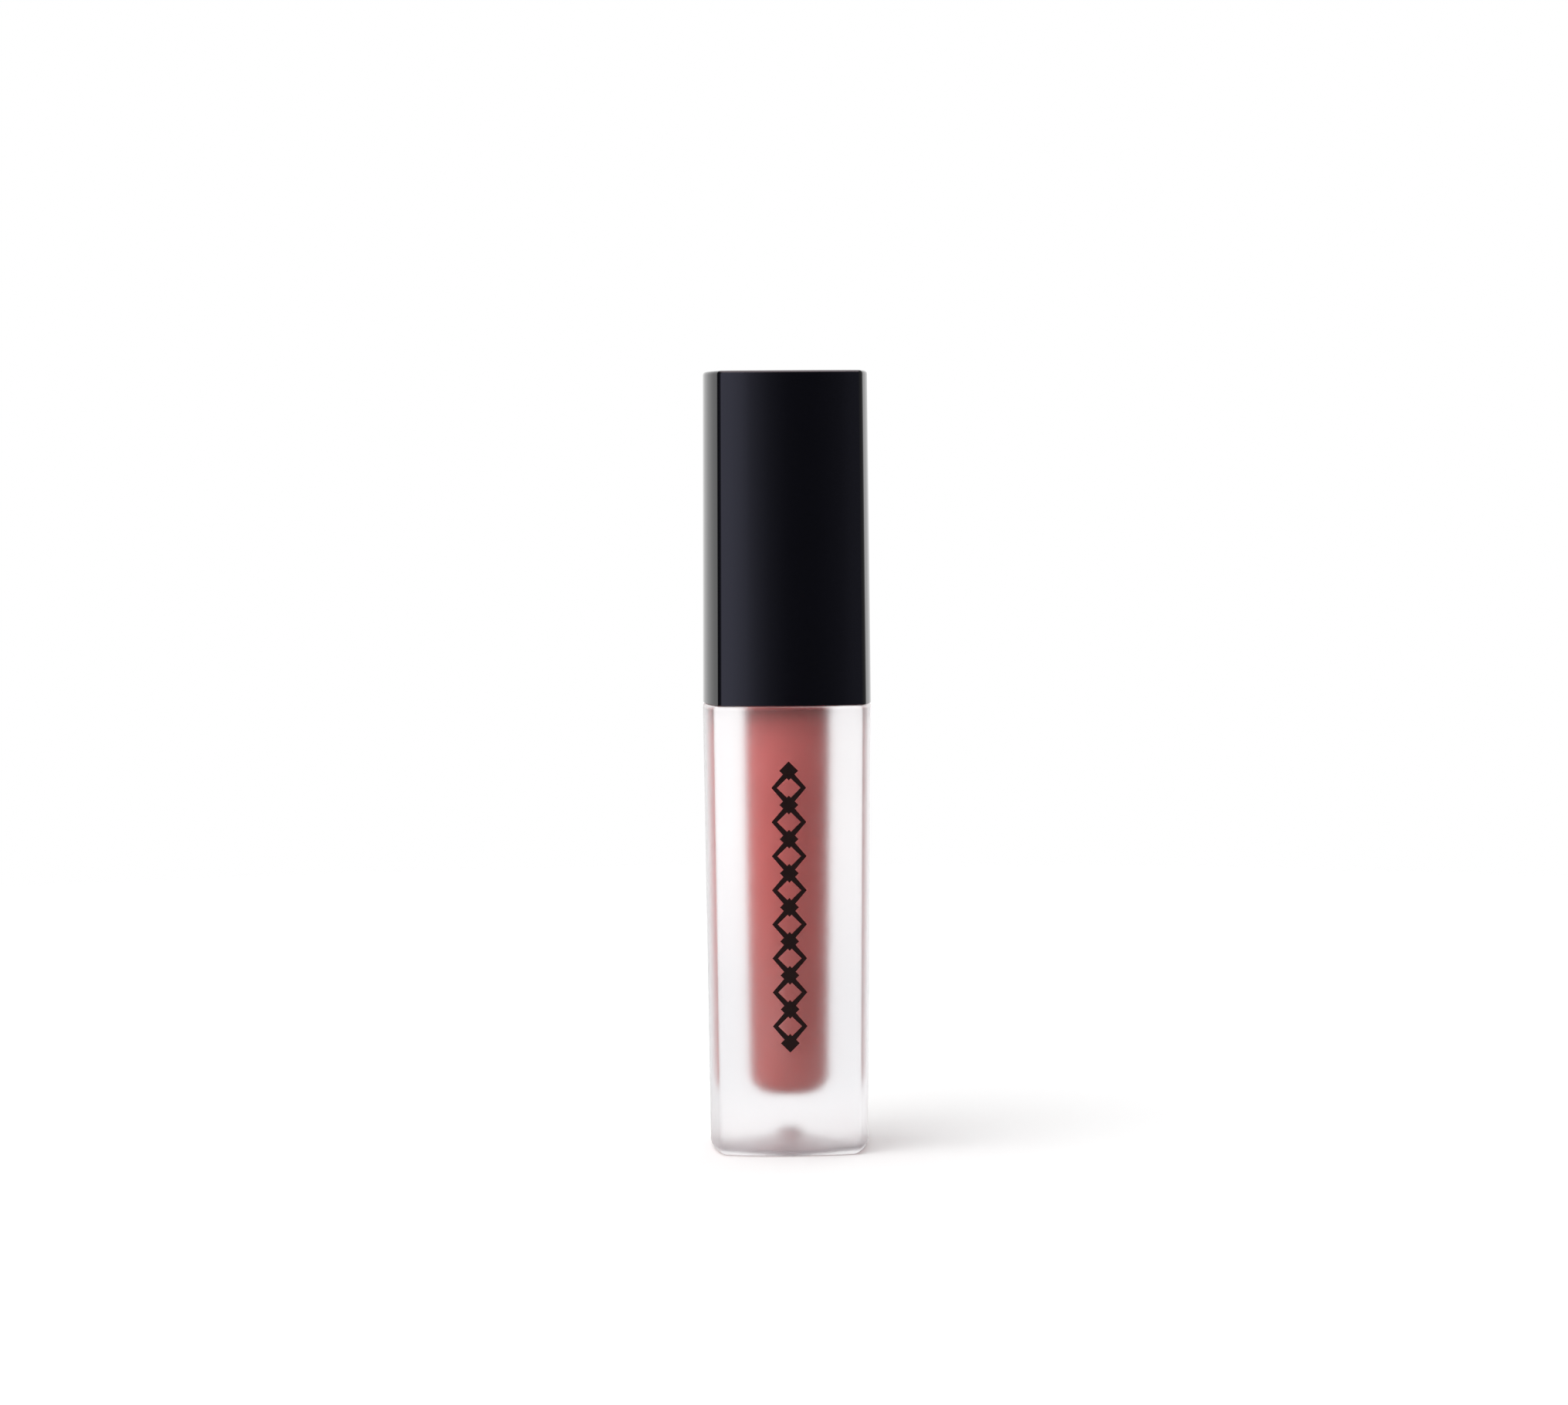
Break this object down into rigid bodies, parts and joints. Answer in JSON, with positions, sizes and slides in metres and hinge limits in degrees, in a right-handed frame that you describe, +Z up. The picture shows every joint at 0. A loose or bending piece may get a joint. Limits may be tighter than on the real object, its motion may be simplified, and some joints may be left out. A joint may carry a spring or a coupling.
{
  "type": "lip gloss tube",
  "caption": "Soft-square frosted lip gloss tube, with a glossy screw cap that carries a doe-foot applicator through a wiper.",
  "frame": {"origin": "centre of the bottle's base, on the surface that the tube stands on", "axes": "+Z up along the tube's axis towards the cap; the printed face looks along -Y; +X is to the right as that face is read"},
  "size_m": [0.0172, 0.0172, 0.0796],
  "materials": {
    "frosted_clear": "satin, frosted clear",
    "print_ink": "satin, near-black ink",
    "gloss": "wet, warm pink",
    "wiper_natural": "satin, milky soft polyethylene",
    "washer_foam": "matte, white closed-cell foam",
    "liner_natural": "satin, milky polypropylene",
    "cap_black": "high gloss black",
    "stem_natural": "smooth, milky",
    "tip_core": "satin",
    "tip_flock": "short nylon flock, soaked in gloss"
  },
  "bodies": {
    "bottle": {"bottle": "frosted_clear", "printed_ornament": "print_ink", "wiper": "wiper_natural"},
    "gloss": {"gloss_fill": "gloss"},
    "washer": {"sealing_washer": "washer_foam"},
    "cap": {"outer_cap": "cap_black", "inner_cap": "liner_natural", "applicator_stem": "stem_natural", "applicator_core": "tip_core", "applicator_flock": "tip_flock"}
  },
  "joints": [
    {"name": "cap_turn", "type": "hinge", "parent": "bottle", "child": "gloss", "pos_m": [0, 0, 0], "axis": [0, 0, 1], "range_deg": [0, 540]},
    {"name": "cap_pull", "type": "slide", "parent": "gloss", "child": "washer", "axis": [0, 0, 1], "range_m": [0, 0.062]},
    {"name": "thread_lift", "type": "slide", "parent": "washer", "child": "cap", "axis": [0, 0, 1], "range_m": [0, 0.0038]}
  ],
  "couplings": [
    {"joint": "thread_lift", "follows": "cap_turn", "m_per_rad": 0.00039789}
  ]
}
